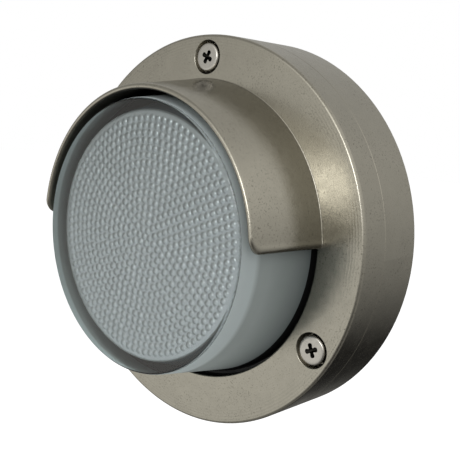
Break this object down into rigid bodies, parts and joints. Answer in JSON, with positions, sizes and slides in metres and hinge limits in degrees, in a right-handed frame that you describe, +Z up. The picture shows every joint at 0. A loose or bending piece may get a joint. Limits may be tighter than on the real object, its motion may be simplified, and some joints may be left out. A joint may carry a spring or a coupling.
{
  "type": "outdoor wall light",
  "caption": "Round outdoor wall light with an eyebrow hood cast into its faceplate and a thick pebbled lens, on a shallow back housing that screws to a ceiling box or a wall.",
  "frame": {"origin": "middle of the back face, where the light meets the wall", "axes": "+Z up the wall, +Y into the wall, the lens and hood stand out towards -Y, +X to the right as one faces the light"},
  "size_m": [0.122, 0.0534, 0.122],
  "materials": {
    "satin_nickel": "satin nickel plate over a casting, finely speckled",
    "bright_screw": "bright stainless steel",
    "black_rubber": "matt moulded rubber",
    "clear_lens": "clear front over a pebbled inner face, frosted inside wall",
    "pressed_steel": "zinc-plated steel",
    "white_plastic": "satin white moulding",
    "board_white": "white solder mask",
    "chip_yellow": "phosphor under clear silicone",
    "grey_silicone": "matt silicone sheet",
    "sheet_aluminium": "mill finish",
    "ivory_plastic": "semi-gloss moulding",
    "brass_screw": "turned brass",
    "green_screw": "green-dyed steel",
    "tinned_copper": "tinned",
    "insulation_black": "satin wire insulation",
    "insulation_white": "satin wire insulation",
    "insulation_green": "satin wire insulation",
    "insulation_red": "satin wire insulation"
  },
  "bodies": {
    "root": {"faceplate": "satin_nickel", "back_housing": "satin_nickel", "face_screws": "bright_screw", "face_screw_washers": "black_rubber", "lens": "clear_lens", "lens_gasket": "black_rubber", "lens_retainer": "pressed_steel", "retainer_screws": "pressed_steel", "reflector": "white_plastic", "led_board": "board_white", "led_chips": "chip_yellow", "board_screws": "pressed_steel", "thermal_pad": "grey_silicone", "mounting_plate": "sheet_aluminium", "plate_screws": "pressed_steel", "driver": "white_plastic", "driver_screws": "pressed_steel", "terminal_block": "ivory_plastic", "terminal_clamp_screws": "brass_screw", "terminal_block_screws": "pressed_steel", "earth_screw": "green_screw", "earth_ring_terminal": "tinned_copper", "lead_line": "insulation_black", "lead_neutral": "insulation_white", "lead_earth": "insulation_green", "lead_led_plus": "insulation_red", "lead_led_minus": "insulation_black", "seam_gasket": "black_rubber", "wall_gasket": "black_rubber", "wire_grommet": "black_rubber"}
  },
  "joints": []
}
